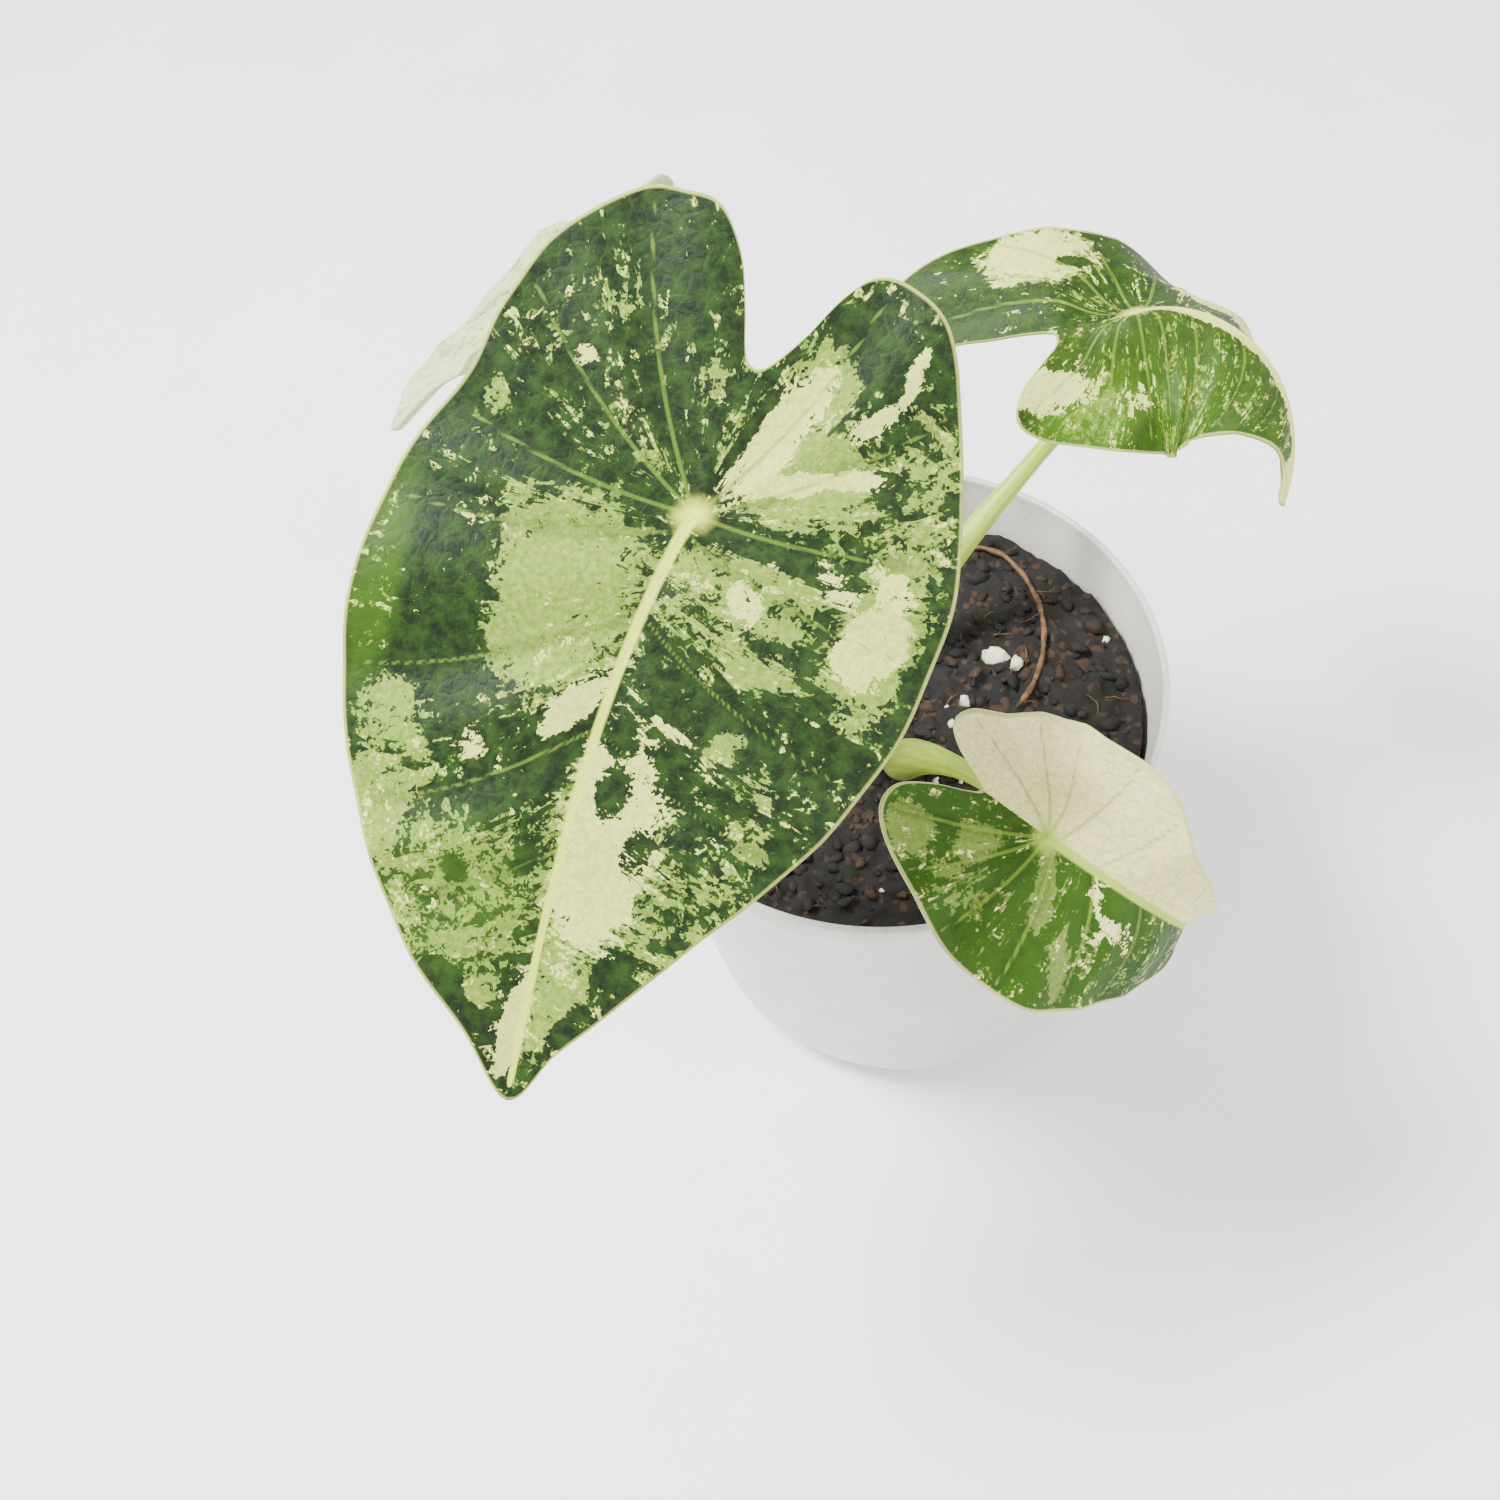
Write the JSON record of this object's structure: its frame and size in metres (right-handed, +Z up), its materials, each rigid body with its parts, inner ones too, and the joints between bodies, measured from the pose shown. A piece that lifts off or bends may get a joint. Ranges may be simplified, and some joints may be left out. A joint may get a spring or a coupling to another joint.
{
  "type": "potted variegated alocasia plant",
  "caption": "Young aroid house plant in a round plastic pot: arrow-shaped, ribbed, cream and green variegated leaf blades on arching petioles that rise from a corm in dark soil",
  "frame": {"origin": "centre of the pot's foot, on the surface that it stands on", "axes": "+Z is up; the picture looks roughly along +Y and down; +X is to the right"},
  "size_m": [0.1879, 0.201, 0.2394],
  "materials": {
    "white_plastic": "smooth moulded white plastic",
    "potting_soil": "rough, loose, dark potting mix with bark and white grit",
    "corm_skin": "dry fibrous skin of a corm",
    "petiole": "smooth, fleshy, pale yellow-green stalk",
    "leaf": "velvety leaf with pale veins, marbled in dark green, pale green and cream"
  },
  "bodies": {
    "root": {"pot": "white_plastic", "soil": "potting_soil", "corm": "corm_skin", "front_petiole": "petiole", "right_petiole": "petiole", "low_petiole": "petiole", "back_petiole": "petiole", "front_blade": "leaf", "right_blade": "leaf", "low_blade": "leaf", "back_blade": "leaf"}
  },
  "joints": []
}
